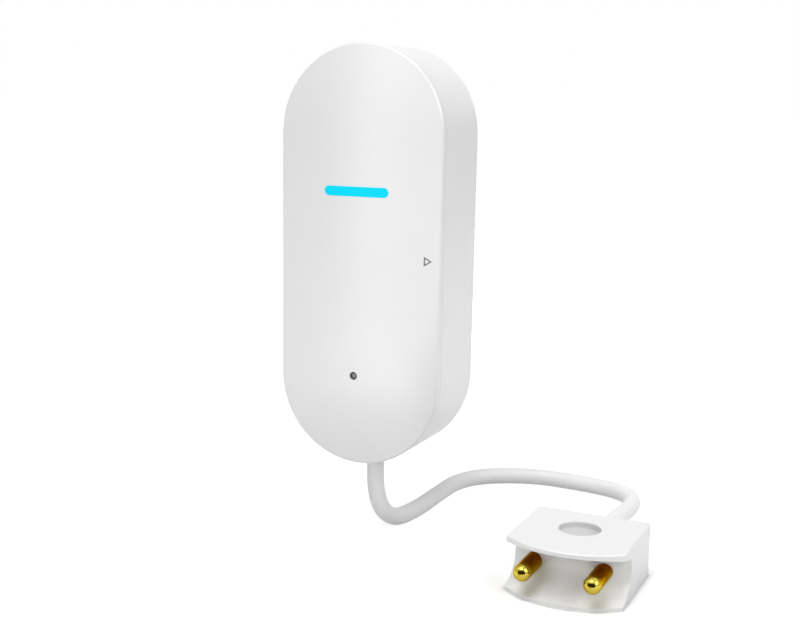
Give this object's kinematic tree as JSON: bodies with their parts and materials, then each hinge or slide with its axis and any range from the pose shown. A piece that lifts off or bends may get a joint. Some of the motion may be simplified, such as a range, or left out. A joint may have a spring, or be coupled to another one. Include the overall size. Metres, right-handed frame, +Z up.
{
  "type": "water leak sensor",
  "caption": "Capsule-shaped wall sensor with a crowned pull-off cover, light bar and pairing button, cabled to a small floor probe with gold pins.",
  "frame": {"origin": "middle of the wall side of the adhesive pad on the back of the housing", "axes": "+Y into the wall, so the front faces -Y; +Z up along the housing's long side; +X to the right seen from the front"},
  "size_m": [0.0776, 0.0756, 0.104],
  "materials": {
    "white_shell": "fine satin moulded white",
    "light_bar": "translucent cyan, lit from behind",
    "gasket": "matt",
    "pad": "foam tape",
    "board": "solder resist",
    "steel": "bright plated",
    "chip": "moulded epoxy",
    "passive": "ceramic body",
    "antenna": "glazed ceramic",
    "led": "clear lens",
    "plunger": "moulded",
    "cell": "plain printed sleeve",
    "grommet": "matt",
    "cable": "smooth sheath",
    "wire": "smooth insulation",
    "connector": "moulded nylon",
    "gold_pin": "polished gold plate"
  },
  "bodies": {
    "housing": {"rear_shell": "white_shell", "cover_gasket": "gasket", "adhesive_pad": "pad", "main_pcb": "board", "pcb_screws": "steel", "radio_shield": "steel", "pcb_chips": "chip", "pcb_passives": "passive", "chip_antenna": "antenna", "status_leds": "led", "button_switch": "chip", "battery_cell": "cell", "battery_positive_contact": "steel", "battery_spring_contact": "steel", "cable_grommet": "grommet", "cable_tail": "cable", "cable_clamp": "white_shell", "clamp_screws": "steel", "lead_wires": "wire", "wire_header": "connector", "wire_plug": "connector", "probe_cable": "cable", "probe_body": "white_shell", "probe_base_plate": "white_shell", "probe_pin_left": "gold_pin", "probe_pin_right": "gold_pin", "probe_bush": "grommet", "probe_leads": "wire"},
    "front_cover": {"front_cover": "white_shell", "light_guide": "light_bar"},
    "pairing_button": {"button_plunger": "plunger"}
  },
  "joints": [
    {"name": "cover_pull", "type": "slide", "parent": "housing", "child": "front_cover", "axis": [0, -1, 0], "range_m": [0, 0.03]},
    {"name": "button_press", "type": "slide", "parent": "housing", "child": "pairing_button", "axis": [0, 1, 0], "range_m": [0, 0.0003], "stiffness_N_per_m": 400}
  ]
}
